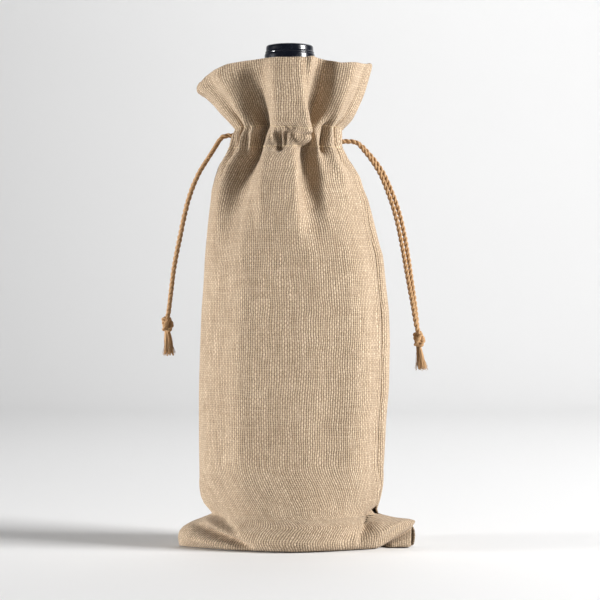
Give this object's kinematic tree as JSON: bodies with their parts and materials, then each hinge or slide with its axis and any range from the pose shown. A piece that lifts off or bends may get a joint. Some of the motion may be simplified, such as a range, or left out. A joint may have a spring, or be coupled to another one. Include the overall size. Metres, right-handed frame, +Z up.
{
  "type": "wine gift bag",
  "caption": "Drawstring bag of coarse woven jute holding a wine bottle, with a gathered neck, a frilled mouth and knotted twine ends at both sides.",
  "frame": {"origin": "on the floor under the bottle's axis, in the middle of the bag's base", "axes": "+Z up along the bottle, -Y towards the front of the bag, +X towards its right side seam"},
  "size_m": [0.1627, 0.081, 0.3054],
  "materials": {
    "jute_cloth": "coarse plain weave, matt",
    "sewing_thread": "matt spun thread",
    "jute_twine": "two-ply twisted twine, matt",
    "bottle_glass": "clear polished dark green glass",
    "wine": "clear dark red liquid",
    "cork": "natural cork, matt",
    "capsule_foil": "glossy black shrink foil"
  },
  "bodies": {
    "bag": {"front_panel": "jute_cloth", "front_shoulder": "jute_cloth", "front_casing": "jute_cloth", "front_frill": "jute_cloth", "front_hem": "jute_cloth", "back_panel": "jute_cloth", "back_shoulder": "jute_cloth", "back_casing": "jute_cloth", "back_frill": "jute_cloth", "back_hem": "jute_cloth", "left_side_seam": "jute_cloth", "right_side_seam": "jute_cloth", "bottom_seam": "jute_cloth", "front_stitch_lower": "sewing_thread", "front_stitch_upper": "sewing_thread", "back_stitch_lower": "sewing_thread", "back_stitch_upper": "sewing_thread", "left_cord_loop": "jute_twine", "right_cord_loop": "jute_twine"},
    "bottle": {"bottle_glass": "bottle_glass", "wine": "wine", "cork": "cork", "capsule": "capsule_foil"},
    "left_lead": {"left_cord_lead_front": "jute_twine", "left_cord_lead_back": "jute_twine"},
    "left_ends": {"left_cord_strand_front": "jute_twine", "left_cord_strand_back": "jute_twine", "left_cord_knot": "jute_twine", "left_cord_tail": "jute_twine"},
    "right_lead": {"right_cord_lead_front": "jute_twine", "right_cord_lead_back": "jute_twine"},
    "right_ends": {"right_cord_strand_front": "jute_twine", "right_cord_strand_back": "jute_twine", "right_cord_knot": "jute_twine", "right_cord_tail": "jute_twine"}
  },
  "joints": [
    {"name": "bottle_lift", "type": "slide", "parent": "bag", "child": "bottle", "axis": [0, 0, 1], "range_m": [0, 0.31], "deforming": ["front_shoulder", "front_casing", "front_frill", "front_hem", "back_shoulder", "back_casing", "back_frill", "back_hem", "front_stitch_lower", "front_stitch_upper", "back_stitch_lower", "back_stitch_upper", "left_side_seam", "right_side_seam", "left_cord_loop", "right_cord_loop", "left_cord_lead_front", "left_cord_lead_back", "right_cord_lead_front", "right_cord_lead_back"]},
    {"name": "left_cord_pull", "type": "slide", "parent": "bag", "child": "left_lead", "axis": [-1, 0, 0], "range_m": [0, 0.012]},
    {"name": "left_cord_swing", "type": "hinge", "parent": "left_lead", "child": "left_ends", "pos_m": [-0.039, 0, 0.2503], "axis": [1, 0, 0], "range_deg": [-60, 60]},
    {"name": "right_cord_pull", "type": "slide", "parent": "bag", "child": "right_lead", "axis": [1, 0, 0], "range_m": [0, 0.012]},
    {"name": "right_cord_swing", "type": "hinge", "parent": "right_lead", "child": "right_ends", "pos_m": [0.039, 0, 0.2467], "axis": [1, 0, 0], "range_deg": [-60, 60]}
  ]
}
